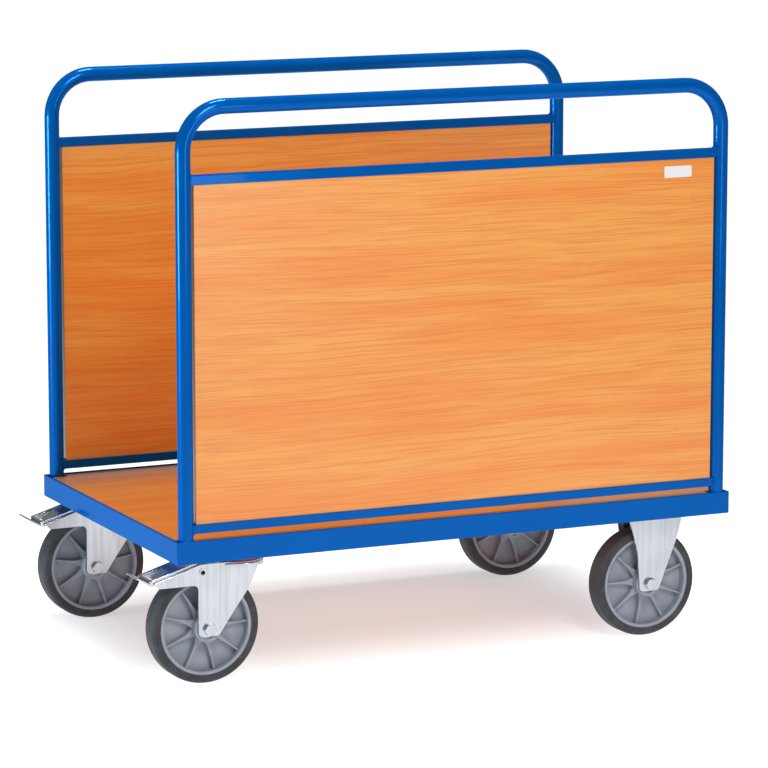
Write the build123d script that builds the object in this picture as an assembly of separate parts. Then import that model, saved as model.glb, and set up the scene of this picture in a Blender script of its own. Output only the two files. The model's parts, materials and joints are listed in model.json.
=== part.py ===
from build123d import *

import math
import os

# Bale trolley: a platform on two swivel and two fixed castors, with a tubular hoop and a wood-decor side
# wall along each long side. Millimetres, +Z up. +X is the fixed-castor end, -Y the right side and +Y the
# left side. The origin is on the floor, in the middle of the overall length and width.

# Platform
platform_length = 1082.0
platform_width = 673.0
rail_height = 40.0
rail_thickness = 5.0
ledge_width = 40.0
rail_corner_radius = 2.5
rail_edge_radius = 0.8
deck_thickness = 16.0
deck_gap = 3.0
deck_edge_chamfer = 0.6
mounting_plate_thickness = 6.0
mounting_plate_margin = 5.0
cross_bar_width = 40.0

# Screws that hold the deck from below
screw_diameter = 4.0
screw_head_diameter = 9.0
screw_head_height = 2.8
screw_skin = 5.0
screw_pitch = 250.0
screw_clearance = 0.1

# Hoops and side walls
hoop_height = 1021.0
tube_diameter = 26.9
tube_wall = 2.3
bend_radius = 75.0
post_inset = 21.5
hand_gap = 101.6
lower_rail_gap = 13.0
panel_thickness = 15.0
panel_clearance = 0.5
panel_side_gap = 3.0
panel_top_gap = 4.0
panel_edge_chamfer = 0.6
panel_rail_height = 16.0
panel_rail_wall = 2.0

# Castor plates and their bolts
plate_length = 135.0
plate_width = 110.0
plate_thickness = 5.0
plate_corner_radius = 12.0
plate_side_gap = 0.5
bolt_edge = 15.0
bolt_diameter = 10.0
bolt_flats = 17.0
bolt_head_height = 6.4
bolt_hole_clearance = 0.5
bolt_thread_clearance = 0.1
bolt_relief = 1.5
swivel_inset = 139.0
swivel_offset = 70.0
fixed_inset = 148.5
fixed_plate_shift = 15.0

# Wheels
wheel_diameter = 200.0
tyre_width = 40.0
tyre_depth = 15.5
tyre_shoulder_radius = 8.0
rim_face_step = 0.4
rim_ring_depth = 6.0
rim_ring_edge = 1.2
web_thickness = 5.0
hub_radius = 24.5
hub_length = 60.0
rib_count = 9
rib_root_width = 17.0
rib_waist_width = 8.0
rib_tip_width = 4.2
rib_waist_way = 0.2
rib_slim_way = 0.62
rib_blend_radius = 30.0
rib_draft = 0.7
rib_drop = 6.0
rib_angles = {
    "right_swivel": 2.5,
    "left_swivel": 8.5,
    "right_fixed": 18.5,
    "left_fixed": 4.0,
}

# Axles and wheel bearings
axle_diameter = 12.0
axle_flats = 19.0
axle_head_height = 8.0
axle_nut_height = 10.0
axle_end = 3.0
axle_clearance = 0.1
sleeve_diameter = 15.0
bearing_diameter = 35.0
bearing_width = 11.0
bearing_recess = 3.0
bearing_land = 3.0
bearing_shield_depth = 0.8
hub_bore_diameter = 24.0
running_clearance = 0.05

# Swivel fork, in the castor's frame: X from the axle, heights up or down from the axle or the crown
sheet = 4.5
edge_round = 1.0
fork_side_gap = 1.0
crown_clearance = 11.5
crown_bulge = 7.5
crown_band = 10.0
crown_rim_radius = 5.0
crown_start = 20.0
flank_start = 27.0
flank_foot = 10.0
flank_dip = 0.6
leg_drop = 13.0
leg_trail = 20.0
leg_lead = 18.0
leg_lead_middle = 70.0
leg_middle_drop = 51.0
leg_bend_radius = 60.0
leg_corner_radius = 8.0
wing_start = 15.7
wing_reach = 101.5
wing_tip_drop = 27.0
wing_tip_back = 9.5
wing_tip_radius = 4.0
wing_depth = 37.0
wing_root_radius = 9.0
lip_inward = 7.0

# Swivel bearing, between the crown and the castor plate
swivel_head_height = 19.0
king_pin_diameter = 14.0
king_pin_flats = 22.0
king_pin_nut_height = 10.0
king_pin_play = 0.4
king_pin_recess = 0.5
ball_diameter = 7.0
ball_count = 18
race_groove_depth = 1.5
race_gap = 0.4
race_lift = 3.2
race_wall = 5.4
seal_inset = 5.0
seal_thickness = 4.5
seal_height = 7.0
seal_gap = 0.6

# Brake, in its own frame: -X outwards along the pedal, Z square to its tread, origin at the pivot
pedal_pivot_back = 12.0
pedal_pivot_drop = 15.0
pedal_tilt = 17.0
pedal_press = 10.0
pedal_sheet = 3.0
pedal_side_gap = 1.0
pedal_reach = 94.5
pedal_inner_end = 2.0
pedal_height = 20.0
pedal_skirt = 10.0
pedal_slot_near = 51.0
pedal_slot_far = 89.5
pedal_slot_width = 42.0
pedal_flap_width = 36.0
pedal_flap_reach = 30.0
pedal_flap_drop = 6.0
pedal_ear_radius = 10.0
pedal_ear_foot = 6.0
pedal_ear_back = 20.0
pedal_corner_radius = 4.0
tongue_width = 54.0
tongue_reach = 20.0
tongue_rise = 20.4
tongue_root = 12.0
rivet_diameter = 10.0
rivet_bore = 8.2
rivet_flange_diameter = 15.0
rivet_flange = 1.2
block_near = 18.0
block_far = 50.0
block_width = 34.0
block_gap = 0.5

# Fixed bracket, in the castor's frame: X and heights from the axle
bracket_drop = 14.0
bracket_bottom_trail = 20.5
bracket_bottom_lead = 17.5
bracket_trail_middle = 25.0
bracket_trail_lift = 58.0
bracket_trail_top = 37.0
bracket_lead_middle = 58.0
bracket_lead_lift = 80.0
bracket_lead_top = 68.0
bracket_shoulder = 17.0
bracket_bend_radius = 40.0
bracket_corner_radius = 10.0
bracket_wing_in = 7.0
bracket_fold_radius = 5.0
bracket_edge_radius = 2.0

# Heights and places worked out from the sizes above
wheel_radius = wheel_diameter / 2
rim_radius = wheel_radius - tyre_depth
fork_inside = hub_length / 2 + fork_side_gap
fork_outside = fork_inside + sheet
crown_radius = fork_outside + crown_bulge
crown_bottom = wheel_diameter + crown_clearance
crown_top = crown_bottom + sheet
castor_height = crown_top + swivel_head_height
plate_bottom = castor_height - plate_thickness
bolt_spacing_x = plate_length - 2 * bolt_edge
bolt_spacing_y = plate_width - 2 * bolt_edge
leg_bottom = wheel_radius - leg_drop
lip_low = wheel_radius + hub_radius
seal_outer = crown_radius - seal_inset
race_outer = seal_outer - seal_thickness - seal_gap
ball_circle = race_outer - race_wall
race_inner = ball_circle - race_wall
ball_middle = crown_top - race_groove_depth + ball_diameter / 2
pedal_pivot_height = crown_top - pedal_pivot_drop
pedal_half_width = fork_inside - pedal_side_gap
bracket_bottom = wheel_radius - bracket_drop
ledge_bottom = castor_height + mounting_plate_thickness
ledge_top = ledge_bottom + rail_thickness
rail_bottom = ledge_bottom + rail_thickness / 2 - rail_height / 2
rail_top = rail_bottom + rail_height
deck_top = ledge_top + deck_thickness
screw_bite = deck_thickness - screw_skin
tube_radius = tube_diameter / 2
post_x = platform_length / 2 - post_inset
post_y = platform_width / 2 - tube_radius
top_tube_z = hoop_height - tube_radius
upper_rail_top = hoop_height - tube_diameter - hand_gap
lower_rail_bottom = deck_top + lower_rail_gap
panel_rail_depth = panel_thickness + 2 * (panel_clearance + panel_rail_wall)
castor_y = platform_width / 2 - rail_thickness - plate_side_gap - plate_width / 2
swivel_axis_x = -platform_length / 2 + swivel_inset
swivel_axle_x = swivel_axis_x - swivel_offset
fixed_axle_x = platform_length / 2 - fixed_inset
fixed_plate_x = fixed_axle_x + fixed_plate_shift
sides = {"right": -1, "left": 1}


# Basic forms


def block(x_low, x_high, y_low, y_high, z_low, z_high):
    """A box between two corners."""
    middle = Pos((x_low + x_high) / 2, (y_low + y_high) / 2, (z_low + z_high) / 2)
    return middle * Box(x_high - x_low, y_high - y_low, z_high - z_low)


def post(radius, z_low, z_high, x=0.0, y=0.0):
    """An upright cylinder."""
    return Pos(x, y, (z_low + z_high) / 2) * Cylinder(radius, z_high - z_low)


def spindle(radius, y_low, y_high):
    """A cylinder along Y, on the Y axis."""
    return Pos(0, (y_low + y_high) / 2, 0) * Rot(90, 0, 0) * Cylinder(radius, y_high - y_low)


def outline(points, radii):
    """A closed face in X and Z, with a rounding for each corner."""
    return Plane.XZ * make_face(FilletPolyline(*points, radius=radii, close=True))


def slab(face, y_low, y_high):
    """A face drawn in X and Z, as a solid between two Y planes."""
    return Pos(0, y_high, 0) * extrude(face, y_high - y_low)


def both_sides(piece):
    """A piece with its mirror image across the XZ plane."""
    return piece + mirror(piece, about=Plane.XZ)


def hexagon_along_z(flats, z_low, z_high):
    """A hexagon head or nut on the Z axis, with its corners turned off."""
    corner = flats / math.sqrt(3)
    prism = Pos(0, 0, z_low) * extrude(RegularPolygon(corner, 6), z_high - z_low)
    turned = post(corner, z_low, z_high)
    turned = chamfer(turned.edges().filter_by(GeomType.CIRCLE), corner - flats / 2)
    return prism & turned


def along_y(piece):
    """Turns a piece on the Z axis so that its +Z points along +Y."""
    return Rot(-90, 0, 0) * piece


# Platform


def edge_rails():
    """The four rolled edge rails: an upright flange outside and a ledge inside, mitred at the corners."""
    half_l = platform_length / 2
    half_w = platform_width / 2
    outside = block(-half_l, half_l, -half_w, half_w, rail_bottom, rail_top)
    outside = fillet(outside.edges().filter_by(Axis.Z), rail_corner_radius)
    inner_l = half_l - rail_thickness
    inner_w = half_w - rail_thickness
    flange = outside - block(-inner_l, inner_l, -inner_w, inner_w, rail_bottom, rail_top)
    flange = fillet(flange.faces().sort_by(Axis.Z)[-1].edges(), rail_edge_radius)
    flange = fillet(flange.faces().sort_by(Axis.Z)[0].edges(), rail_edge_radius)
    ledge = block(-inner_l, inner_l, -inner_w, inner_w, ledge_bottom, ledge_top)
    open_l = half_l - ledge_width
    open_w = half_w - ledge_width
    ring = flange + (ledge - block(-open_l, open_l, -open_w, open_w, ledge_bottom, ledge_top))
    reach = ledge_width * 1.5

    def mitred(corners):
        wedge = extrude(make_face(Polyline(*corners, close=True)), rail_height * 2)
        return ring & (Pos(0, 0, rail_bottom - rail_height / 2) * wedge)

    def side(sign):
        near, far = sign * half_w, sign * (half_w - reach)
        return mitred([(-half_l, near), (half_l, near), (half_l - reach, far), (-half_l + reach, far)])

    def end(sign):
        near, far = sign * half_l, sign * (half_l - reach)
        return mitred([(near, -half_w), (near, half_w), (far, half_w - reach), (far, -half_w + reach)])

    return {
        "right_side_rail": side(-1),
        "left_side_rail": side(1),
        "swivel_end_rail": end(-1),
        "fixed_end_rail": end(1),
    }


def castor_bolt_places():
    """X and Y of every castor bolt."""
    return [
        (plate_x + dx * bolt_spacing_x / 2, sign * castor_y + dy * bolt_spacing_y / 2)
        for plate_x in (swivel_axis_x, fixed_plate_x)
        for sign in sides.values()
        for dx in (-1, 1)
        for dy in (-1, 1)
    ]


def deck_screw_places():
    """X and Y of every deck screw: three along each side ledge and two along each end ledge."""
    ledge_middle = (ledge_width + rail_thickness) / 2
    along_side = platform_width / 2 - ledge_middle
    along_end = platform_length / 2 - ledge_middle
    places = [(k * screw_pitch, sign * along_side) for k in (-1, 0, 1) for sign in (-1, 1)]
    places += [(end * along_end, k * screw_pitch / 2) for end in (-1, 1) for k in (-1, 1)]
    return places


def holes(places, radius, z_low, z_high):
    """Upright drillings at the given places."""
    return [post(radius, z_low, z_high, x, y) for x, y in places]


def cross_bars(plate_x):
    """Two flat bars across the platform, over the two bolt rows of a castor pair."""
    reach = platform_width / 2 - ledge_width
    bars = []
    for row in (-1, 1):
        middle = plate_x + row * bolt_spacing_x / 2
        bar = block(
            middle - cross_bar_width / 2,
            middle + cross_bar_width / 2,
            -reach,
            reach,
            ledge_bottom,
            ledge_top,
        )
        bars.append(bar)
    return bars


def mounting_plates():
    """A welded plate at each corner, between the ledge and the castor's own plate."""
    plates = []
    half_l = plate_length / 2 + mounting_plate_margin
    outer = platform_width / 2 - rail_thickness
    inner = castor_y - plate_width / 2 - mounting_plate_margin
    for plate_x in (swivel_axis_x, fixed_plate_x):
        for sign in sides.values():
            low, high = sorted((sign * outer, sign * inner))
            plates.append(
                block(plate_x - half_l, plate_x + half_l, low, high, castor_height, ledge_bottom)
            )
    return plates


def castor_bolts():
    """Hexagon bolts from below, screwed into the mounting plates and the bars or ledges above them."""
    one = hexagon_along_z(bolt_flats, plate_bottom - bolt_head_height, plate_bottom)
    one += post(bolt_diameter / 2, plate_bottom, ledge_top)
    return [Pos(x, y, 0) * one for x, y in castor_bolt_places()]


def deck_screws():
    """Screws up through the ledges into the board."""
    one = post(screw_head_diameter / 2, ledge_bottom - screw_head_height, ledge_bottom)
    one = fillet(one.edges().sort_by(Axis.Z)[0], screw_head_height / 2)
    one += post(screw_diameter / 2, ledge_bottom, ledge_top + screw_bite)
    return [Pos(x, y, 0) * one for x, y in deck_screw_places()]


def deck_board():
    """The board that lies on the ledges, with its corners notched round the posts."""
    half_l = platform_length / 2 - rail_thickness - deck_gap
    half_w = platform_width / 2 - rail_thickness - deck_gap
    board = block(-half_l, half_l, -half_w, half_w, ledge_top, deck_top)
    notch_x = post_x - tube_radius - deck_gap
    notch_y = post_y - tube_radius - deck_gap
    for sx in (-1, 1):
        for sy in (-1, 1):
            x_low, x_high = sorted((sx * notch_x, sx * platform_length / 2))
            y_low, y_high = sorted((sy * notch_y, sy * platform_width / 2))
            board -= block(x_low, x_high, y_low, y_high, ledge_top, deck_top)
    board = chamfer(board.faces().sort_by(Axis.Z)[-1].edges(), deck_edge_chamfer)
    screw_radius = screw_diameter / 2 + screw_clearance
    for hole in holes(deck_screw_places(), screw_radius, ledge_top, ledge_top + screw_bite):
        board -= hole
    return board


# Hoops and side walls


def hoop(sign):
    """A bent tube on the right or left: a post at each end and the push rail between them."""
    corners = [
        (-post_x, 0, ledge_top),
        (-post_x, 0, top_tube_z),
        (post_x, 0, top_tube_z),
        (post_x, 0, ledge_top),
    ]
    path = FilletPolyline(*corners, radius=bend_radius)
    section = Circle(tube_radius) - Circle(tube_radius - tube_wall)
    tube = sweep(Pos(-post_x, 0, ledge_top) * section, path=path)
    tube = Pos(0, sign * post_y, 0) * tube
    flange_inside = platform_width / 2 - rail_thickness
    low, high = sorted((sign * flange_inside, sign * platform_width / 2))
    return tube - block(-platform_length / 2, platform_length / 2, low, high, rail_bottom, rail_top)


def panel_rail(sign, z_low, z_high, open_upwards):
    """A steel channel between the two posts, coped to the tubes, open towards the panel."""
    half_d = panel_rail_depth / 2
    channel = block(-post_x, post_x, -half_d, half_d, z_low, z_high)
    inside_low = z_low + panel_rail_wall if open_upwards else z_low
    inside_high = z_high if open_upwards else z_high - panel_rail_wall
    inside_half = half_d - panel_rail_wall
    channel = fillet(channel.edges().filter_by(Axis.X), edge_round)
    channel -= block(-post_x, post_x, -inside_half, inside_half, inside_low, inside_high)
    for sx in (-1, 1):
        channel -= post(tube_radius, z_low, z_high, sx * post_x)
    return Pos(0, sign * post_y, 0) * channel


def side_panel(sign):
    """The wood-decor wall that stands in the lower channel and reaches up into the upper one."""
    half_l = post_x - tube_radius - panel_side_gap
    half_t = panel_thickness / 2
    z_low = lower_rail_bottom + panel_rail_wall
    z_high = upper_rail_top - panel_rail_wall - panel_top_gap
    panel = block(-half_l, half_l, -half_t, half_t, z_low, z_high)
    return Pos(0, sign * post_y, 0) * chamfer(panel.edges(), panel_edge_chamfer)


# Wheels, in their own frame: the axle is the Y axis


def tyre():
    """A solid elastic tyre with rounded shoulders."""
    half = tyre_width / 2
    section = [(rim_radius, -half), (wheel_radius, -half), (wheel_radius, half), (rim_radius, half)]
    face = make_face(
        FilletPolyline(*section, radius=[0, tyre_shoulder_radius, tyre_shoulder_radius, 0], close=True)
    )
    return revolve(face, Axis.Y)


def rib_face(draft):
    """One rib from the side, flaring towards the hub, and narrower all round by its draft."""
    near = hub_radius - edge_round
    far = rim_radius - rim_ring_depth + rim_ring_edge
    waist = near + rib_waist_way * (far - near)
    slim = near + rib_slim_way * (far - near)
    upper = [
        (near, rib_root_width / 2 - draft),
        (waist, rib_waist_width / 2 - draft),
        (slim, rib_tip_width / 2 - draft),
        (far, rib_tip_width / 2 - draft),
    ]
    lower = [(x, -z) for x, z in reversed(upper)]
    ends = [0, rib_blend_radius, rib_blend_radius, 0]
    return outline(upper + lower, ends + ends)


def rim(angle):
    """A moulded rim: hub, web, ring, and drafted ribs on both faces."""
    half = tyre_width / 2 - rim_face_step
    ring_inside = rim_radius - rim_ring_depth
    ring = spindle(rim_radius, -half, half) - spindle(ring_inside, -half, half)
    circles = ring.edges().filter_by(GeomType.CIRCLE).sort_by(SortBy.RADIUS)
    ring = chamfer(circles[:2], rim_ring_edge)
    hub = spindle(hub_radius, -hub_length / 2, hub_length / 2)
    hub = fillet(hub.edges().filter_by(GeomType.CIRCLE), edge_round)
    web_half = web_thickness / 2
    body = ring + spindle(ring_inside + rim_ring_edge, -web_half, web_half) + hub
    crest = Pos(0, half - rib_drop, 0) * rib_face(rib_draft)
    rib = both_sides(loft([rib_face(0), crest], ruled=True))
    for k in range(rib_count):
        body += Rot(0, -angle - k * 360 / rib_count, 0) * rib
    body -= spindle(hub_bore_diameter / 2, -hub_length / 2, hub_length / 2)
    seat = hub_length / 2 - bearing_recess - bearing_width
    for sign in (-1, 1):
        body -= spindle(bearing_diameter / 2, *sorted((sign * hub_length / 2, sign * seat)))
    return body


def wheel_bearings():
    """A sealed bearing in each end of the hub."""
    outer = bearing_diameter / 2
    bore = sleeve_diameter / 2 + running_clearance
    found = []
    for sign in (-1, 1):
        outside = sign * (hub_length / 2 - bearing_recess)
        inside = outside - sign * bearing_width
        recess = outside - sign * bearing_shield_depth
        ring = spindle(outer, *sorted((outside, inside))) - spindle(bore, *sorted((outside, inside)))
        shield = spindle(outer - bearing_land, *sorted((outside, recess)))
        shield -= spindle(bore + bearing_land, *sorted((outside, recess)))
        found.append(ring - shield)
    return found


def axle_sleeve():
    """The steel tube clamped between the fork legs, on which the bearings sit."""
    tube = spindle(sleeve_diameter / 2, -fork_inside, fork_inside)
    return tube - spindle(axle_diameter / 2 + axle_clearance, -fork_inside, fork_inside)


def axle_bolt():
    """A hexagon bolt through both legs, with its head on the right side."""
    head = along_y(hexagon_along_z(axle_flats, -fork_outside - axle_head_height, -fork_outside))
    return head + spindle(axle_diameter / 2, -fork_outside, fork_outside + axle_nut_height + axle_end)


def axle_nut():
    """The nut on the bolt's left end."""
    nut = along_y(hexagon_along_z(axle_flats, fork_outside, fork_outside + axle_nut_height))
    hole = spindle(axle_diameter / 2 + axle_clearance, fork_outside, fork_outside + axle_nut_height)
    return nut - hole


def at_axle(piece):
    """Lifts a wheel piece to axle height."""
    return Pos(0, 0, wheel_radius) * piece


def axle_hole():
    """The drilling for the axle bolt through both legs."""
    return at_axle(spindle(axle_diameter / 2 + axle_clearance, -fork_outside, fork_outside))


# Castor plates and the swivel bearing, in the castor's frame: X from the axle, Z from the floor


def castor_plate(middle_x):
    """A flat plate with rounded corners and the four bolt holes."""
    half_l = plate_length / 2
    half_w = plate_width / 2
    plate = block(-half_l, half_l, -half_w, half_w, plate_bottom, castor_height)
    plate = fillet(plate.edges().filter_by(Axis.Z), plate_corner_radius)
    hole_radius = bolt_diameter / 2 + bolt_hole_clearance
    for dx in (-1, 1):
        for dy in (-1, 1):
            hole_x = dx * bolt_spacing_x / 2
            hole_y = dy * bolt_spacing_y / 2
            plate -= post(hole_radius, plate_bottom, castor_height, hole_x, hole_y)
    return Pos(middle_x, 0, 0) * plate


def swivel_plate():
    """The castor plate with the upper ball race pressed below it and the hole for the king pin."""
    race_low = crown_top + race_lift
    race = post(race_outer, race_low, plate_bottom) - post(race_inner, race_low, plate_bottom)
    race -= Pos(0, 0, ball_middle) * Torus(ball_circle, ball_diameter / 2 + race_gap)
    pin = post(king_pin_diameter / 2, plate_bottom, castor_height)
    return castor_plate(swivel_offset) + Pos(swivel_offset, 0, 0) * race - Pos(swivel_offset, 0, 0) * pin


def king_pin():
    """The pin that holds the fork to the plate, with its nut below the crown."""
    nut_top = crown_bottom - king_pin_play
    nut = hexagon_along_z(king_pin_flats, nut_top - king_pin_nut_height, nut_top)
    pin = nut + post(king_pin_diameter / 2, nut_top - king_pin_nut_height, castor_height - king_pin_recess)
    return Pos(swivel_offset, 0, 0) * pin


def race_balls():
    """The ring of balls between the crown and the upper race."""
    balls = []
    for k in range(ball_count):
        turn = 2 * math.pi * k / ball_count
        x = swivel_offset + ball_circle * math.cos(turn)
        y = ball_circle * math.sin(turn)
        balls.append(Pos(x, y, ball_middle) * Sphere(ball_diameter / 2))
    return balls


def dust_seal():
    """The ring that stands on the crown and keeps dirt out of the balls."""
    inner = seal_outer - seal_thickness
    high = crown_top + seal_height
    ring = post(seal_outer, crown_top, high) - post(inner, crown_top, high)
    top_edges = ring.edges().filter_by(GeomType.CIRCLE).group_by(Axis.Z)[-1]
    ring = fillet(top_edges.sort_by(SortBy.RADIUS)[-1], edge_round)
    return Pos(swivel_offset, 0, 0) * ring


# Swivel fork


def crown_corner(inset=0.0):
    """X where the plane of a leg's outer face, or one further in, cuts the crown's round front."""
    return swivel_offset + math.sqrt((crown_radius - inset) ** 2 - (fork_outside - inset) ** 2)


def flank_touch(inset=0.0):
    """The point on the crown's circle where the straight flank from the left leg meets it."""
    radius = crown_radius - inset
    leg_y = fork_outside - inset
    back = swivel_offset - flank_start
    turn = math.atan2(leg_y, -back) - math.acos(radius / math.hypot(back, leg_y))
    return swivel_offset + radius * math.cos(turn), radius * math.sin(turn)


def leg_outline():
    """One leg from the side, with the wing that carries the brake pedal."""
    points = [
        (-leg_trail, leg_bottom),
        (leg_lead, leg_bottom),
        (leg_lead_middle, crown_top - leg_middle_drop),
        (crown_corner(), crown_top),
        (-wing_start, crown_top),
        (-wing_reach, crown_top - wing_tip_drop),
        (-wing_reach + wing_tip_back, crown_top - wing_depth),
        (-leg_trail, crown_top - wing_depth),
    ]
    radii = [
        leg_corner_radius,
        leg_corner_radius,
        leg_bend_radius,
        0,
        0,
        edge_round,
        wing_tip_radius,
        wing_root_radius,
    ]
    return outline(points, radii)


def crown_outline(inset=0.0):
    """The crown from above, or its inside: a disc with flanks that run back into the two legs."""
    leg_y = fork_outside - inset
    touch_x, touch_y = flank_touch(inset)
    right_half = [(crown_start + inset, -leg_y), (flank_start, -leg_y), (touch_x, -touch_y)]
    left_half = [(x, -y) for x, y in reversed(right_half)]
    flanks = make_face(Polyline(*right_half, *left_half, close=True))
    return flanks + Pos(swivel_offset, 0, 0) * Circle(crown_radius - inset)


def flank(inset=0.0):
    """The drawn bulge on the left leg, or its inside: full under the crown's band, gone at its foot."""
    radius = crown_radius - inset
    leg_y = fork_outside - inset
    root = leg_y - sheet / 2
    flush = leg_y - flank_dip
    touch_x, touch_y = flank_touch(inset)
    end_x = crown_corner(inset)
    turn = math.atan2(touch_y + leg_y, touch_x + end_x - 2 * swivel_offset)
    middle_x = swivel_offset + radius * math.cos(turn)
    middle_y = radius * math.sin(turn)

    def level(z, start, touch, middle, end):
        edges = [
            Line((flank_start, root), (flank_start, start)),
            Line((flank_start, start), (touch_x, touch)),
            ThreePointArc((touch_x, touch), (middle_x, middle), (end_x, end)),
            Line((end_x, end), (end_x, root)),
            Line((end_x, root), (flank_start, root)),
        ]
        return Pos(0, 0, z) * make_face(edges)

    low = level(wheel_radius + flank_foot, flush, flush, flush + flank_dip / 2, flush)
    high = level(crown_top - crown_band, leg_y, touch_y, middle_y, leg_y)
    return loft([low, high], ruled=True)


def swivel_fork():
    """The pressed fork: two winged legs, drawn flanks, and a round crown with the lower ball race."""
    face = leg_outline()
    leg = slab(face, fork_inside, fork_outside)
    leg = fillet(leg.faces().sort_by(Axis.Y)[-1].edges(), edge_round)
    bulge = flank()
    leg += bulge & slab(face, 0, crown_radius)
    leg -= flank(sheet)
    lip = slab(face - offset(face, amount=-sheet), fork_inside - lip_inward, crown_radius)
    lip &= slab(face, 0, fork_outside - edge_round) + bulge
    lip &= block(leg_lead, crown_corner(), 0, crown_radius, lip_low, crown_top - crown_band)
    band_low = Pos(0, 0, crown_top - crown_band)
    crown = band_low * extrude(crown_outline(), crown_band)
    crown = fillet(crown.faces().sort_by(Axis.Z)[-1].edges(), crown_rim_radius)
    hollow = band_low * extrude(crown_outline(sheet), crown_band - sheet)
    fork = both_sides(leg) + crown - hollow + both_sides(lip)
    axis = Pos(swivel_offset, 0, 0)
    pivot = Pos(-pedal_pivot_back, 0, pedal_pivot_height)
    fork -= axis * post(king_pin_diameter / 2 + running_clearance, crown_bottom, crown_top)
    fork -= axis * (Pos(0, 0, ball_middle) * Torus(ball_circle, ball_diameter / 2))
    fork -= axle_hole()
    fork -= pivot * spindle(rivet_diameter / 2, -fork_outside, fork_outside)
    return fork


def brake_rivets():
    """Tubular rivets that hinge the pedal's ears in the wings."""
    inner = pedal_half_width - pedal_sheet
    outer = fork_outside
    one = spindle(rivet_diameter / 2, inner - rivet_flange, outer + rivet_flange)
    one += spindle(rivet_flange_diameter / 2, outer, outer + rivet_flange)
    one += spindle(rivet_flange_diameter / 2, inner - rivet_flange, inner)
    one -= spindle(rivet_bore / 2, inner - rivet_flange, outer + rivet_flange)
    place = Pos(-pedal_pivot_back, 0, pedal_pivot_height)
    return [place * one, place * mirror(one, about=Plane.XZ)]


# Brake


def at_pivot(piece, press=0.0):
    """Sets a brake piece on its pivot, at its tilt at rest and pressed down by a further angle."""
    return Pos(-pedal_pivot_back, 0, pedal_pivot_height) * Rot(0, -pedal_tilt - press, 0) * piece


def tongue_face():
    """The upturned tongue from the side, rooted in the middle of the front skirt."""
    length = math.hypot(tongue_reach, tongue_rise)
    side_x, side_z = tongue_rise / length * pedal_sheet / 2, tongue_reach / length * pedal_sheet / 2
    root_x, root_z = -pedal_reach + pedal_sheet / 2, tongue_root
    tip_x, tip_z = root_x - tongue_reach, root_z + tongue_rise
    corners = [
        (root_x - side_x, root_z - side_z),
        (root_x + side_x, root_z + side_z),
        (tip_x + side_x, tip_z + side_z),
        (tip_x - side_x, tip_z - side_z),
    ]
    return outline(corners, [0, 0, edge_round, edge_round])


def brake_pedal():
    """The pressed pedal: a tread with skirts, a window with a bent flap, ears and an upturned tongue."""
    skirt_low = pedal_height - pedal_skirt
    under = pedal_height - pedal_sheet
    inner = pedal_half_width - pedal_sheet
    half = pedal_half_width
    tray = block(-pedal_reach, pedal_inner_end, -half, half, skirt_low, pedal_height)
    tray = fillet(tray.edges().filter_by(Axis.Z).group_by(Axis.X)[0], pedal_corner_radius)
    tray = fillet(tray.faces().sort_by(Axis.Z)[-1].edges(), edge_round)
    hollow = block(-pedal_reach + pedal_sheet, pedal_inner_end, -inner, inner, skirt_low, under)
    hollow = fillet(hollow.edges().filter_by(Axis.Z).group_by(Axis.X)[0], pedal_corner_radius - pedal_sheet)
    slot_half = pedal_slot_width / 2
    slot = block(-pedal_slot_far, -pedal_slot_near, -slot_half, slot_half, under, pedal_height)
    flap_end = -pedal_slot_near - pedal_flap_reach
    flap_face = outline(
        [
            (-pedal_slot_near, under),
            (-pedal_slot_near, pedal_height),
            (flap_end, pedal_height - pedal_flap_drop),
            (flap_end, under - pedal_flap_drop),
        ],
        [0, 0, 0, 0],
    )
    flap = slab(flap_face, -pedal_flap_width / 2, pedal_flap_width / 2)
    ear_face = outline(
        [
            (-pedal_ear_back, skirt_low + pedal_sheet),
            (pedal_inner_end, skirt_low + pedal_sheet),
            (pedal_ear_radius, 0),
            (pedal_ear_foot, -pedal_ear_radius),
            (-pedal_ear_foot, -pedal_ear_radius),
            (-pedal_ear_back, skirt_low),
        ],
        [0, 0, edge_round, pedal_corner_radius, pedal_corner_radius, 0],
    )
    ears = both_sides(slab(ear_face, inner, pedal_half_width))
    ears -= spindle(rivet_diameter / 2 + running_clearance, -pedal_half_width, pedal_half_width)
    tongue = slab(tongue_face(), -tongue_width / 2, tongue_width / 2)
    return at_pivot(tray - hollow - slot + flap + ears + tongue)


def brake_block():
    """The shoe under the pedal, hollowed to the tyre with a small gap when the pedal is down."""
    shoe = block(
        -block_far, -block_near, -block_width / 2, block_width / 2, 0, pedal_height - pedal_sheet
    )
    tyre_room = at_axle(spindle(wheel_radius + block_gap, -block_width, block_width))
    shoe = at_pivot(shoe, pedal_press) - tyre_room
    back_up = Pos(-pedal_pivot_back, 0, pedal_pivot_height) * Rot(0, pedal_press, 0)
    return back_up * (Pos(pedal_pivot_back, 0, -pedal_pivot_height) * shoe)


# Fixed bracket


def faces_left(face):
    """Whether a face looks towards +Y more than any other way."""
    normal = face.normal_at()
    return normal.Y > max(abs(normal.X), abs(normal.Z))


def folded_sheet():
    """The sheet of the left leg before it is cut out: a flat middle and a wing folded in on each side."""
    wing_y = fork_outside - bracket_wing_in
    outside = [
        (-bracket_trail_top, wing_y),
        (-bracket_bottom_trail, fork_outside),
        (bracket_bottom_lead, fork_outside),
        (bracket_lead_top, wing_y),
    ]
    inside = [(x, y - sheet) for x, y in reversed(outside)]
    outer_radius = bracket_fold_radius + sheet
    radii = [0, outer_radius, outer_radius, 0, 0, bracket_fold_radius, bracket_fold_radius, 0]
    plan = make_face(FilletPolyline(*outside, *inside, radius=radii, close=True))
    return Pos(0, 0, bracket_bottom) * extrude(plan, plate_bottom - bracket_bottom)


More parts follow.
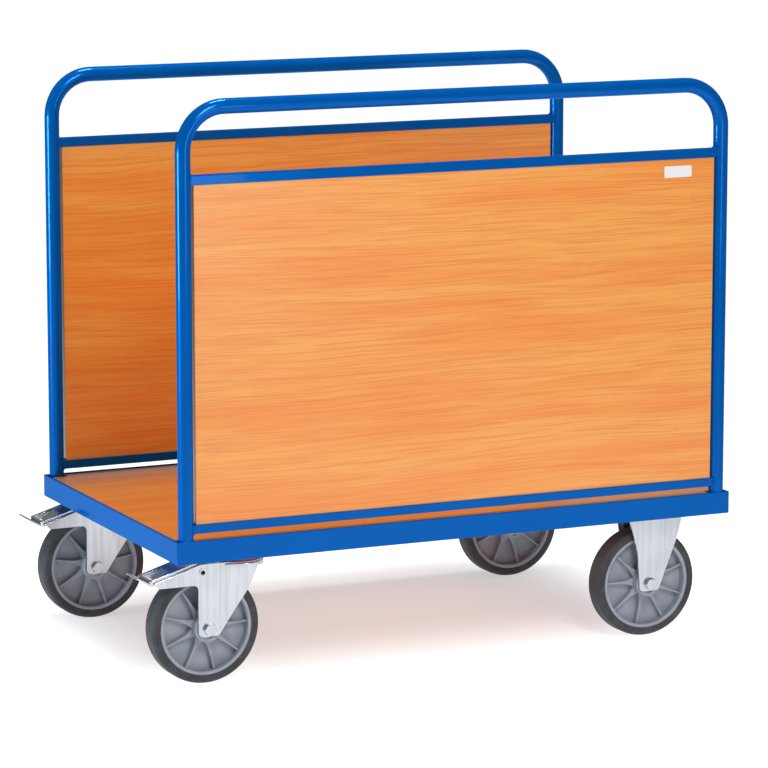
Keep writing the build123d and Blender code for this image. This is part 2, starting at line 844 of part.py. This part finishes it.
def fixed_bracket():
    """A pressed bracket: plate, two legs with folded wings, and room for the hub and the bolt heads."""
    shoulder_z = plate_bottom - bracket_shoulder
    points = [
        (-bracket_bottom_trail, bracket_bottom),
        (bracket_bottom_lead, bracket_bottom),
        (bracket_lead_middle, wheel_radius + bracket_lead_lift),
        (bracket_lead_top, shoulder_z),
        (bracket_lead_top, plate_bottom),
        (-bracket_trail_top, plate_bottom),
        (-bracket_trail_top, shoulder_z),
        (-bracket_trail_middle, wheel_radius + bracket_trail_lift),
    ]
    radii = [
        leg_corner_radius,
        leg_corner_radius,
        bracket_bend_radius,
        bracket_corner_radius,
        0,
        0,
        bracket_corner_radius,
        bracket_bend_radius,
    ]
    leg = folded_sheet() & slab(outline(points, radii), 0, fork_outside)
    outer_edges = [edge for face in leg.faces().filter_by(faces_left) for edge in face.edges()]
    border = [edge for edge in outer_edges if outer_edges.count(edge) == 1]
    free_edges = [edge for edge in border if edge.center().Z < plate_bottom - edge_round]
    leg = fillet(free_edges, bracket_edge_radius)
    leg -= at_axle(spindle(hub_radius + fork_side_gap, 0, fork_inside))
    legs = both_sides(leg)
    relief = bolt_flats / math.sqrt(3) + bolt_relief
    relief_low = plate_bottom - bolt_head_height - bolt_relief
    for dx in (-1, 1):
        for dy in (-1, 1):
            bolt_x = fixed_plate_shift + dx * bolt_spacing_x / 2
            bolt_y = dy * bolt_spacing_y / 2
            legs -= post(relief, relief_low, plate_bottom, bolt_x, bolt_y)
    return castor_plate(fixed_plate_shift) + legs - axle_hole()


# The whole trolley


def trolley():
    """Every piece by its node name, with X and Y from the platform's middle and Z from the floor."""
    nodes = dict(edge_rails())
    bolt_radius = bolt_diameter / 2 + bolt_thread_clearance
    screw_radius = screw_diameter / 2 + screw_clearance
    bolt_holes = holes(castor_bolt_places(), bolt_radius, castor_height, ledge_top)
    screw_holes = holes(deck_screw_places(), screw_radius, ledge_bottom, ledge_top)
    for name in ("right_side_rail", "left_side_rail", "swivel_end_rail", "fixed_end_rail"):
        for hole in bolt_holes + screw_holes:
            nodes[name] -= hole
    drilled = {
        "swivel_end_cross_bars": cross_bars(swivel_axis_x),
        "fixed_end_cross_bars": cross_bars(fixed_plate_x),
        "castor_mounting_plates": mounting_plates(),
    }
    for name, pieces in drilled.items():
        nodes[name] = []
        for piece in pieces:
            for hole in bolt_holes:
                piece -= hole
            nodes[name].append(piece)
    nodes["castor_bolts"] = castor_bolts()
    nodes["deck_board"] = deck_board()
    nodes["deck_screws"] = deck_screws()

    for side, sign in sides.items():
        nodes[f"{side}_hoop"] = hoop(sign)
        nodes[f"{side}_upper_panel_rail"] = panel_rail(
            sign, upper_rail_top - panel_rail_height, upper_rail_top, False
        )
        nodes[f"{side}_lower_panel_rail"] = panel_rail(
            sign, lower_rail_bottom, lower_rail_bottom + panel_rail_height, True
        )
        nodes[f"{side}_side_panel"] = side_panel(sign)

    swivel_pieces = {
        "swivel_plate": swivel_plate(),
        "king_pin": king_pin(),
        "race_balls": race_balls(),
        "dust_seal": dust_seal(),
        "swivel_fork": swivel_fork(),
        "swivel_axle_bolt": at_axle(axle_bolt()),
        "swivel_axle_nut": at_axle(axle_nut()),
        "swivel_axle_sleeve": at_axle(axle_sleeve()),
        "brake_rivets": brake_rivets(),
        "brake_pedal": brake_pedal(),
        "brake_block": brake_block(),
    }
    shared = {
        "fixed_axle_bolts": at_axle(axle_bolt()),
        "fixed_axle_nuts": at_axle(axle_nut()),
        "fixed_axle_sleeves": at_axle(axle_sleeve()),
    }
    bracket = fixed_bracket()
    wheel_tyre = at_axle(tyre())
    bearings = [at_axle(ring) for ring in wheel_bearings()]
    for name in shared:
        nodes[name] = []
    for side, sign in sides.items():
        swivel_place = Pos(swivel_axle_x, sign * castor_y, 0)
        fixed_place = Pos(fixed_axle_x, sign * castor_y, 0)
        for name, piece in swivel_pieces.items():
            nodes[f"{side}_{name}"] = moved(piece, swivel_place)
        for name, piece in shared.items():
            nodes[name].append(moved(piece, fixed_place))
        nodes[f"{side}_fixed_bracket"] = moved(bracket, fixed_place)
        for kind, place in (("swivel", swivel_place), ("fixed", fixed_place)):
            wheel = f"{side}_{kind}"
            nodes[f"{wheel}_rim"] = moved(at_axle(rim(rib_angles[wheel])), place)
            nodes[f"{wheel}_tyre"] = moved(wheel_tyre, place)
            nodes[f"{wheel}_bearings"] = moved(bearings, place)
    return nodes


def moved(piece, place):
    """A piece, or each piece of a group, at another place."""
    if isinstance(piece, list):
        return [place * one for one in piece]
    return place * piece


def solids_of(piece):
    """The separate solids of a piece or a group."""
    group = piece if isinstance(piece, list) else [piece]
    return [solid for one in group for solid in one.solids()]


def main():
    nodes = {name: solids_of(piece) for name, piece in trolley().items()}
    boxes = [solid.bounding_box() for solids in nodes.values() for solid in solids]
    middle_x = (min(box.min.X for box in boxes) + max(box.max.X for box in boxes)) / 2
    os.makedirs("parts", exist_ok=True)
    for name, solids in nodes.items():
        export_step(Pos(-middle_x, 0, 0) * Compound(solids), f"parts/{name}.step")
    print(f"{len(nodes)} nodes, platform middle at X = {-middle_x:.3f}")


main()
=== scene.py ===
import json
import math

import bpy
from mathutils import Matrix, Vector


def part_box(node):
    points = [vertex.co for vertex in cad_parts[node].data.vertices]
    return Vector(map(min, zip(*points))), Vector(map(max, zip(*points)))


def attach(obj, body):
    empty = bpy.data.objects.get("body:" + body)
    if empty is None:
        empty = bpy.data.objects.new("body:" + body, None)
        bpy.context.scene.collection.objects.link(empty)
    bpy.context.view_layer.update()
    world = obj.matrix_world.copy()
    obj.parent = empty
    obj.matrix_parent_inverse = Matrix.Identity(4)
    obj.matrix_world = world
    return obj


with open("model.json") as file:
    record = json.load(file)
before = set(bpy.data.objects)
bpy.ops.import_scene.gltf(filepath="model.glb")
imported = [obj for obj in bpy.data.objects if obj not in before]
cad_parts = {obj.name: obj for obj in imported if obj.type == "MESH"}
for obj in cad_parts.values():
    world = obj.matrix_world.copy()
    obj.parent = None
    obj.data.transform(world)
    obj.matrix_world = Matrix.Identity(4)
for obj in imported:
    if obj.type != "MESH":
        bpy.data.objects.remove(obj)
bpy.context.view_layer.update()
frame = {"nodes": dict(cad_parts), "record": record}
nodes = frame["nodes"]
scene = bpy.context.scene

# The photograph's camera: angles in degrees, lens in millimetres, the rest in metres
camera_azimuth = -24.636
camera_elevation = 9.761
camera_distance = 7.2364
camera_lens = 184.83
camera_height = 0.4479
camera_from_platform_middle = 0.0026
camera_sight = 100.0

# Weld beads, in metres and degrees
weld_pitch = 0.0019
weld_radius = 0.0023
weld_sunk = weld_radius * 0.35
weld_end_gap = 0.001
weld_edge_turn = 6
weld_face_share = 0.985
post_foot_arcs = ((40, 76), (104, 140))
ripple_least = (0.62, 0.88, 0.88)
ripple_most = (0.82, 1.1, 1.1)
ripple_seed = 7

# Label, in metres
label_length = 0.055
label_height = 0.0205
label_thickness = 0.0004
label_corner = 0.002
label_below_rail = 0.012
label_from_post = 0.063

# Paper floor, in metres. Each pair says where a fade starts and where it ends
floor_reach = 60.0
paper_sides = (1.3, 2.4)
paper_front = (1.25, 2.0)
paper_spread = 0.12
# The painted shadow under the trolley: its middle, half sizes and fade
shade_middle = (0.02, 0.1)
shade_half = (0.28, 0.12)
shade_fade = (0.0, 0.1)
front_strip = (0.38, 0.6)

# Soft boxes: place, width and height in metres, watts and colour
lamp_white = (1.0, 1.0, 1.0)
lamp_cool = (0.65, 0.95, 1.0)
soft_boxes = {
    "front": ((0.4, -3.2, 0.75), (0.8, 0.9), 9.0, lamp_white),
    "high": ((-0.3, -3.0, 2.7), (0.9, 1.2), 62.0, lamp_white),
    "side": ((-4.0, 0.1, 0.55), (1.2, 0.8), 85.0, lamp_cool),
    "top": ((0.1, 0.3, 3.9), (0.9, 0.9), 84.0, lamp_white),
}
room_light = 0.2


# Shader maths


class Field:
    """A shader value; operators on it add Math nodes to its material."""

    def __init__(self, finish, socket):
        self.finish = finish
        self.socket = socket

    def math(self, operation, first, second):
        return self.finish.node("ShaderNodeMath", {"operation": operation}, {0: first, 1: second})

    def __add__(self, other):
        return self.math("ADD", self, other)

    def __sub__(self, other):
        return self.math("SUBTRACT", self, other)

    def __rsub__(self, other):
        return self.math("SUBTRACT", other, self)

    def __mul__(self, other):
        return self.math("MULTIPLY", self, other)

    __radd__ = __add__
    __rmul__ = __mul__

    def beyond(self, reach):
        """How far the value is past a reach on either side, or 0 within it."""
        outside = self.math("ABSOLUTE", self, 0.0) - reach
        return self.math("MAXIMUM", outside, 0.0)

    def rise(self, low, high):
        """0 below low, 1 above high, smooth between."""
        sockets = {"Value": self, "From Min": low, "From Max": high}
        return self.finish.node("ShaderNodeMapRange", {"interpolation_type": "SMOOTHSTEP"}, sockets)


socket_names = {"specular_ior_level": "Specular IOR Level"}


class Finish:
    """One material and its Principled shader."""

    def __init__(self, name):
        self.material = bpy.data.materials.new(name)
        self.material.use_nodes = True
        self.tree = self.material.node_tree
        self.shader = self.tree.nodes["Principled BSDF"]
        self.coords = self.node("ShaderNodeTexCoord", out="Object")

    def feed(self, socket, value):
        if isinstance(value, Field):
            self.tree.links.new(value.socket, socket)
        else:
            socket.default_value = value

    def node(self, kind, settings=None, sockets=None, out=0):
        made = self.tree.nodes.new(kind)
        for name, value in (settings or {}).items():
            setattr(made, name, value)
        for name, value in (sockets or {}).items():
            self.feed(made.inputs[name], value)
        return Field(self, made.outputs[out])

    def place(self):
        """X, Y and Z on the object, in metres."""
        return [self.node("ShaderNodeSeparateXYZ", None, {0: self.coords}, out=k) for k in range(3)]

    def vector(self, x, y, z):
        return self.node("ShaderNodeCombineXYZ", None, {0: x, 1: y, 2: z})

    def stretched(self, x, y, z):
        """Object coordinates, scaled along each axis."""
        sockets = {0: self.coords, 1: (x, y, z)}
        return self.node("ShaderNodeVectorMath", {"operation": "MULTIPLY"}, sockets)

    def noise(self, vector, scale=1.0, detail=2.0, roughness=0.5):
        sockets = {"Vector": vector, "Scale": scale, "Detail": detail, "Roughness": roughness}
        return self.node("ShaderNodeTexNoise", None, sockets)

    def mix(self, factor, first, second):
        settings = {"data_type": "RGBA"}
        return self.node("ShaderNodeMix", settings, {0: factor, 6: first, 7: second}, out=2)

    def bump(self, height, strength, distance):
        sockets = {"Height": height, "Strength": strength, "Distance": distance}
        return self.node("ShaderNodeBump", None, sockets)

    def surface(self, **sockets):
        for name, value in sockets.items():
            title = socket_names.get(name, name.replace("_", " ").title())
            self.feed(self.shader.inputs[title], value)
        return self.material


def rgb(red, green, blue):
    return (red, green, blue, 1.0)


# Finishes


def blue_powder_coat():
    """Glossy blue powder coat with a fine orange peel."""
    deep_blue = rgb(0.0, 0.098, 0.41)
    mid_blue = rgb(0.0, 0.108, 0.44)
    pore_blue = rgb(0.0, 0.14, 0.5)
    paint = Finish("blue powder coat")
    peel = paint.noise(paint.coords, scale=420.0, roughness=0.45)
    pores = paint.noise(paint.coords, scale=2600.0, detail=1.0)
    drift = paint.noise(paint.coords, scale=9.0, detail=3.0)
    colour = paint.mix(drift.rise(0.3, 0.7), deep_blue, mid_blue)
    colour = paint.mix(pores.rise(0.62, 0.8) * 0.2, colour, pore_blue)
    return paint.surface(
        base_color=colour,
        metallic=0.3,
        roughness=0.17 + drift * 0.05 + pores * 0.03,
        specular_ior_level=0.0,
        specular_tint=rgb(0.0, 0.7, 1.0),
        coat_weight=0.13,
        coat_roughness=0.04,
        normal=paint.bump(peel + pores * 0.2, strength=0.03, distance=0.0004),
    )


def beech_decor():
    """Beech-decor laminate: nearly straight grain along X, with soft bands and fine dark streaks."""
    pale_band = rgb(0.875, 0.36, 0.062)
    warm_band = rgb(0.865, 0.272, 0.032)
    streak_brown = rgb(0.77, 0.175, 0.02)
    hair_brown = rgb(0.66, 0.14, 0.018)
    fleck_brown = rgb(0.45, 0.12, 0.035)
    wood = Finish("beech decor")
    x, y, z = wood.place()
    across = z + y

    def grain(line, along, over, through, detail, roughness=0.5):
        """Noise that changes this often in a metre along X, over a line and through the board."""
        place = wood.vector(x * along, line * over, y * through)
        return wood.noise(place, detail=detail, roughness=roughness)

    drift = grain(across, along=1.3, over=1.7, through=3.0, detail=1.0)
    ripple = grain(across, along=5.0, over=9.0, through=3.0, detail=2.0)
    flow = across + drift * 0.045 + ripple * 0.008
    bands = grain(flow, along=2.0, over=21.0, through=5.0, detail=2.0, roughness=0.55)
    streaks = grain(flow, along=6.0, over=400.0, through=5.0, detail=3.0)
    hairs = grain(flow, along=11.0, over=760.0, through=5.0, detail=2.0, roughness=0.6)
    flecks = grain(flow, along=90.0, over=900.0, through=5.0, detail=1.0)
    colour = wood.mix(bands.rise(0.34, 0.68), pale_band, warm_band)
    colour = wood.mix(streaks.rise(0.47, 0.63) * 0.55, colour, streak_brown)
    colour = wood.mix(hairs.rise(0.5, 0.7) * 0.36, colour, hair_brown)
    colour = wood.mix(flecks.rise(0.66, 0.76) * 0.3, colour, fleck_brown)
    return wood.surface(
        base_color=colour,
        roughness=0.36 + hairs * 0.12,
        coat_weight=1.0,
        coat_roughness=0.26,
        normal=wood.bump(streaks * 0.5 + hairs * 0.5, strength=0.08, distance=0.0004),
    )


def zinc_plate():
    """Bright zinc plate: pale and even, with faint drawing marks and a very fine grain."""
    pale_zinc = rgb(0.6, 0.63, 0.67)
    mid_zinc = rgb(0.56, 0.59, 0.63)
    drawn_zinc = rgb(0.45, 0.475, 0.51)
    zinc = Finish("zinc plate")
    cloud = zinc.noise(zinc.coords, scale=18.0)
    drawn = zinc.noise(zinc.stretched(130.0, 130.0, 5.0))
    grain = zinc.noise(zinc.coords, scale=1500.0, detail=1.0)
    colour = zinc.mix(cloud.rise(0.3, 0.7), pale_zinc, mid_zinc)
    colour = zinc.mix(drawn.rise(0.4, 0.7) * 0.45, colour, drawn_zinc)
    return zinc.surface(
        base_color=colour,
        metallic=0.95,
        roughness=0.15 + cloud * 0.06 + drawn * 0.08,
        normal=zinc.bump(grain * 0.5 + drawn * 0.25, strength=0.04, distance=0.0003),
    )


def ground_steel():
    """Ground bearing steel with fine turning marks."""
    steel = Finish("ground steel")
    turned = steel.noise(steel.stretched(1800.0, 240.0, 1800.0))
    film = steel.noise(steel.coords, scale=60.0)
    return steel.surface(
        base_color=steel.mix(film, rgb(0.58, 0.58, 0.6), rgb(0.45, 0.45, 0.47)),
        metallic=1.0,
        roughness=0.24 + turned * 0.14,
        normal=steel.bump(turned, strength=0.15, distance=0.0002),
    )


def grey_rim_plastic():
    """Moulded grey nylon with a fine eroded texture and faint flow marks."""
    pale_grey = rgb(0.3, 0.325, 0.375)
    mid_grey = rgb(0.26, 0.285, 0.335)
    dust_grey = rgb(0.38, 0.39, 0.42)
    nylon = Finish("grey rim plastic")
    eroded = nylon.noise(nylon.coords, scale=1400.0, roughness=0.6)
    flow = nylon.noise(nylon.coords, scale=42.0, detail=3.0)
    dust = nylon.noise(nylon.coords, scale=16.0)
    colour = nylon.mix(flow.rise(0.35, 0.65), pale_grey, mid_grey)
    colour = nylon.mix(dust.rise(0.55, 0.75) * 0.25, colour, dust_grey)
    return nylon.surface(
        base_color=colour,
        roughness=0.46 + eroded * 0.16,
        normal=nylon.bump(eroded, strength=0.2, distance=0.0003),
    )


def tyre_rubber():
    """Dark solid rubber with a dull bloom, moulding grain and light scuffs."""
    deep_grey = rgb(0.036, 0.036, 0.041)
    bloom_grey = rgb(0.057, 0.056, 0.063)
    scuff_grey = rgb(0.13, 0.13, 0.14)
    rubber = Finish("tyre rubber")
    grain = rubber.noise(rubber.coords, scale=900.0, detail=3.0, roughness=0.65)
    bloom = rubber.noise(rubber.coords, scale=26.0, detail=3.0, roughness=0.6)
    scuffs = rubber.noise(rubber.stretched(90.0, 900.0, 90.0))
    colour = rubber.mix(bloom.rise(0.35, 0.7), deep_grey, bloom_grey)
    colour = rubber.mix(scuffs.rise(0.58, 0.75) * 0.3, colour, scuff_grey)
    return rubber.surface(
        base_color=colour,
        roughness=0.55 + grain * 0.2,
        specular_ior_level=0.3,
        normal=rubber.bump(grain + scuffs * 0.3, strength=0.25, distance=0.0004),
    )


def red_seal_plastic():
    """Red moulded seal, slightly glossy."""
    seal = Finish("red seal plastic")
    grain = seal.noise(seal.coords, scale=800.0)
    tone = seal.noise(seal.coords, scale=40.0)
    return seal.surface(
        base_color=seal.mix(tone, rgb(0.6, 0.02, 0.025), rgb(0.5, 0.012, 0.018)),
        roughness=0.36 + grain * 0.12,
        normal=seal.bump(grain, strength=0.12, distance=0.0003),
    )


def black_brake_rubber():
    """Black brake rubber with a coarse moulded grain."""
    rubber = Finish("black brake rubber")
    grain = rubber.noise(rubber.coords, scale=700.0, detail=3.0, roughness=0.6)
    tone = rubber.noise(rubber.coords, scale=50.0)
    return rubber.surface(
        base_color=rubber.mix(tone, rgb(0.018, 0.018, 0.02), rgb(0.035, 0.035, 0.037)),
        roughness=0.6 + grain * 0.2,
        normal=rubber.bump(grain, strength=0.3, distance=0.0005),
    )


def white_label_film():
    """Bare white plastic film, slightly uneven."""
    film = Finish("white label film")
    tone = film.noise(film.coords, scale=120.0)
    return film.surface(
        base_color=film.mix(tone, rgb(0.84, 0.84, 0.85), rgb(0.78, 0.78, 0.79)),
        roughness=0.34 + tone * 0.1,
        normal=film.bump(tone, strength=0.05, distance=0.0003),
    )


def white_paper():
    """White studio paper that glows: dimmer under the trolley as a painted shadow, dimmer in front of
    it, and grey past its edges.
    """
    painted_shadow_glow = rgb(0.48, 0.475, 0.48)
    open_glow = rgb(0.91, 0.91, 0.915)
    front_glow = rgb(0.7, 0.7, 0.705)
    off_glow = rgb(0.2, 0.2, 0.2)
    paper = Finish("white floor")
    x, y, _ = paper.place()
    turn = math.radians(camera_azimuth)
    across = x * math.cos(turn) + y * math.sin(turn)
    along = y * math.cos(turn) - x * math.sin(turn)
    past_sides = (across.beyond(0.0) - along.beyond(0.0) * paper_spread).rise(*paper_sides)
    past_front = (0.0 - along).rise(*paper_front)
    off_paper = past_sides + past_front - past_sides * past_front
    # Painted shadow: inside a soft-edged box under the trolley the glow drops to the dimmer
    # under-trolley colour
    past_end = (x - shade_middle[0]).beyond(shade_half[0])
    past_side = (y - shade_middle[1]).beyond(shade_half[1])
    lit = (past_end * past_end + past_side * past_side).rise(*shade_fade)
    in_front = (0.0 - y).rise(*front_strip)
    glow = paper.mix(lit, painted_shadow_glow, open_glow)
    glow = paper.mix(in_front, glow, front_glow)
    tone = paper.noise(paper.coords, scale=2.0)
    return paper.surface(
        base_color=paper.mix(tone, rgb(0.5, 0.5, 0.5), rgb(0.48, 0.48, 0.48)),
        roughness=0.9,
        specular_ior_level=0.0,
        emission_color=paper.mix(off_paper, glow, off_glow),
        emission_strength=1.0,
    )


finishes = {
    "blue_paint": blue_powder_coat(),
    "wood_decor": beech_decor(),
    "zinc_plated_steel": zinc_plate(),
    "bearing_steel": ground_steel(),
    "rim_plastic": grey_rim_plastic(),
    "tyre_rubber": tyre_rubber(),
    "seal_plastic": red_seal_plastic(),
    "brake_rubber": black_brake_rubber(),
}
for piece in frame["record"]["subparts"]:
    slots = nodes[piece["node"]].data.materials
    slots.clear()
    slots.append(finishes[piece["material_slot"]])


# Meshes and Geometry Nodes


def mesh_object(name, points, edges, faces):
    mesh = bpy.data.meshes.new(name)
    mesh.from_pydata(points, edges, faces)
    obj = bpy.data.objects.new(name, mesh)
    scene.collection.objects.link(obj)
    return obj


class Tree:
    """A Geometry Nodes tree with named inputs."""

    def __init__(self, name, inputs):
        self.group = bpy.data.node_groups.new(name, "GeometryNodeTree")
        face = self.group.interface
        face.new_socket("Geometry", in_out="INPUT", socket_type="NodeSocketGeometry")
        for title, kind in inputs.items():
            face.new_socket(title, in_out="INPUT", socket_type=kind)
        face.new_socket("Geometry", in_out="OUTPUT", socket_type="NodeSocketGeometry")
        self.given = self.group.nodes.new("NodeGroupInput").outputs

    def node(self, kind, settings=None, sockets=None, out=0):
        made = self.group.nodes.new(kind)
        for name, value in (settings or {}).items():
            setattr(made, name, value)
        for name, value in (sockets or {}).items():
            if isinstance(value, bpy.types.NodeSocket):
                self.group.links.new(value, made.inputs[name])
            else:
                made.inputs[name].default_value = value
        return made.outputs[out]

    def close(self, geometry):
        end = self.group.nodes.new("NodeGroupOutput")
        self.group.links.new(geometry, end.inputs[0])

    def apply(self, obj, values):
        """Runs the tree on an object, keeps the result as its mesh and takes the modifier off."""
        modifier = obj.modifiers.new(self.group.name, "NODES")
        modifier.node_group = self.group
        for item in self.group.interface.items_tree:
            if item.in_out == "INPUT" and item.name in values:
                modifier[item.identifier] = values[item.name]
        result = obj.evaluated_get(bpy.context.evaluated_depsgraph_get())
        mesh = bpy.data.meshes.new_from_object(result)
        obj.modifiers.clear()
        obj.data = mesh


# Weld beads on the frame


def weld_tree():
    """Overlapping ripples along a path, as a welder leaves them."""
    tree = Tree(
        "weld bead",
        {
            "Pitch": "NodeSocketFloat",
            "Radius": "NodeSocketFloat",
            "Paint": "NodeSocketMaterial",
        },
    )
    path = tree.node("GeometryNodeMeshToCurve", None, {"Mesh": tree.given["Geometry"]})
    steps = tree.node(
        "GeometryNodeResampleCurve",
        {"mode": "LENGTH"},
        {"Curve": path, "Length": tree.given["Pitch"]},
    )
    ripple = tree.node(
        "GeometryNodeMeshIcoSphere",
        None,
        {"Radius": tree.given["Radius"], "Subdivisions": 2},
    )
    turn = tree.node(
        "FunctionNodeAlignRotationToVector",
        {"axis": "X"},
        {"Vector": tree.node("GeometryNodeInputTangent")},
    )
    size = tree.node(
        "FunctionNodeRandomValue",
        {"data_type": "FLOAT_VECTOR"},
        {"Min": ripple_least, "Max": ripple_most, "Seed": ripple_seed},
    )
    beads = tree.node(
        "GeometryNodeInstanceOnPoints",
        None,
        {"Points": steps, "Instance": ripple, "Rotation": turn, "Scale": size},
    )
    solid = tree.node("GeometryNodeRealizeInstances", None, {"Geometry": beads})
    smooth = tree.node("GeometryNodeSetShadeSmooth", None, {"Geometry": solid})
    painted = tree.node(
        "GeometryNodeSetMaterial",
        None,
        {"Geometry": smooth, "Material": tree.given["Paint"]},
    )
    tree.close(painted)
    return tree


def path_object(name, paths):
    """An object whose mesh is one line for each path."""
    points = []
    lines = []
    for path in paths:
        start = len(points)
        points += [tuple(point) for point in path]
        lines += [(start + k, start + k + 1) for k in range(len(path) - 1)]
    return mesh_object(name, points, lines, [])


def arc(centre, radius, start, end, z, steps=14):
    """Points on a level arc, with angles in degrees from +X."""
    found = []
    for k in range(steps + 1):
        turn = math.radians(start + (end - start) * k / steps)
        found.append((centre[0] + radius * math.cos(turn), centre[1] + radius * math.sin(turn), z))
    return found


def tube_of(side):
    """Radius, Y and the two X places of a hoop's posts."""
    low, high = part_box(f"{side}_hoop")
    radius = (high.y - low.y) / 2
    return radius, (low.y + high.y) / 2, (low.x + radius, high.x - radius)


def post_foot_welds(side, outward):
    """Two arcs on the outside of each post, where it stands on the side rail."""
    radius, post_y, posts = tube_of(side)
    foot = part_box(f"{side}_side_rail")[1].z - weld_sunk / 2
    paths = []
    for post_x in posts:
        for start, end in post_foot_arcs:
            paths.append(
                arc((post_x, post_y), radius - weld_sunk, outward * start, outward * end, foot)
            )
    return paths


def channel_end_welds(side, rail):
    """Both faces and the open edge of a channel, where each of its ends meets a post."""
    radius, post_y, posts = tube_of(side)
    low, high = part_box(f"{side}_{rail}_panel_rail")
    half = (high.y - low.y) / 2
    inset = math.sqrt(radius**2 - half**2)
    reach = math.degrees(math.asin(half / radius)) - weld_edge_turn
    edge = high.z if rail == "upper" else low.z
    paths = []
    for post_x, toward, facing in zip(posts, (1, -1), (0, 180)):
        weld_x = post_x + toward * inset
        for face_y in (low.y, high.y):
            weld_y = post_y + (face_y - post_y) * weld_face_share
            ends = (low.z + weld_end_gap, high.z - weld_end_gap)
            paths.append([(weld_x, weld_y, z) for z in ends])
        paths.append(arc((post_x, post_y), radius, facing - reach, facing + reach, edge))
    return paths


weld_paths = []
for side, outward in (("right", -1), ("left", 1)):
    weld_paths += post_foot_welds(side, outward)
    for rail in ("upper", "lower"):
        weld_paths += channel_end_welds(side, rail)
welds = path_object("weld_beads", weld_paths)
weld_tree().apply(
    welds,
    {"Pitch": weld_pitch, "Radius": weld_radius, "Paint": finishes["blue_paint"]},
)
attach(welds, "platform")


# Bare label on the right wall


def rounded_plate(name, centre, length, height, thickness, corner, steps=6):
    """A thin upright plate with rounded corners that faces -Y, its back at the given centre."""
    middle_x, back_y, middle_z = centre
    front_y = back_y - thickness
    ring = []
    for corner_x, corner_z, start in ((1, 1, 0), (-1, 1, 90), (-1, -1, 180), (1, -1, 270)):
        turn_x = middle_x + corner_x * (length / 2 - corner)
        turn_z = middle_z + corner_z * (height / 2 - corner)
        for k in range(steps + 1):
            turn = math.radians(start + 90 * k / steps)
            ring.append((turn_x + corner * math.cos(turn), turn_z + corner * math.sin(turn)))
    count = len(ring)
    points = [(x, back_y, z) for x, z in ring] + [(x, front_y, z) for x, z in ring]
    faces = [tuple(reversed(range(count))), tuple(range(count, count * 2))]
    faces += [(k, (k + 1) % count, count + (k + 1) % count, count + k) for k in range(count)]
    plate = mesh_object(name, points, [], faces)
    plate.data.validate()
    return plate


panel_low, panel_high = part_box("right_side_panel")
rail_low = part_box("right_upper_panel_rail")[0]
label_place = (
    tube_of("right")[2][1] - label_from_post - label_length / 2,
    panel_low.y,
    rail_low.z - label_below_rail - label_height / 2,
)
label = rounded_plate(
    "bare_label", label_place, label_length, label_height, label_thickness, label_corner
)
label.data.materials.append(white_label_film())
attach(label, "platform")


# Floor, light and camera

floor_corners = [
    (-floor_reach, -floor_reach, 0),
    (floor_reach, -floor_reach, 0),
    (floor_reach, floor_reach, 0),
    (-floor_reach, floor_reach, 0),
]
floor = mesh_object("floor", floor_corners, [], [(0, 1, 2, 3)])
floor.data.materials.append(white_paper())

world = bpy.data.worlds.new("studio")
world.use_nodes = True
background = world.node_tree.nodes["Background"]
background.inputs["Color"].default_value = rgb(1.0, 0.995, 1.0)
background.inputs["Strength"].default_value = room_light
scene.world = world
scene.view_settings.view_transform = "Standard"


def soft_box(name, target, place, size, power, colour):
    """A large soft light aimed at a point."""
    light = bpy.data.lights.new(name, "AREA")
    light.color = colour
    light.shape = "RECTANGLE"
    light.size, light.size_y = size
    light.energy = power
    obj = bpy.data.objects.new(name, light)
    obj.location = place
    obj.rotation_euler = (Vector(place) - Vector(target)).to_track_quat("Z", "Y").to_euler()
    scene.collection.objects.link(obj)


middle_x = (panel_low.x + panel_high.x) / 2 + camera_from_platform_middle
middle = Vector((middle_x, 0.0, camera_height))
for name, facts in soft_boxes.items():
    soft_box(name, middle, *facts)

azimuth = math.radians(camera_azimuth)
elevation = math.radians(camera_elevation)
back = Vector(
    (
        math.sin(azimuth) * math.cos(elevation),
        -math.cos(azimuth) * math.cos(elevation),
        math.sin(elevation),
    )
)
camera_data = bpy.data.cameras.new("camera")
camera_data.lens = camera_lens
camera_data.clip_end = camera_sight
camera = bpy.data.objects.new("camera", camera_data)
camera.location = middle + back * camera_distance
camera.rotation_euler = back.to_track_quat("Z", "Y").to_euler()
scene.collection.objects.link(camera)
scene.camera = camera
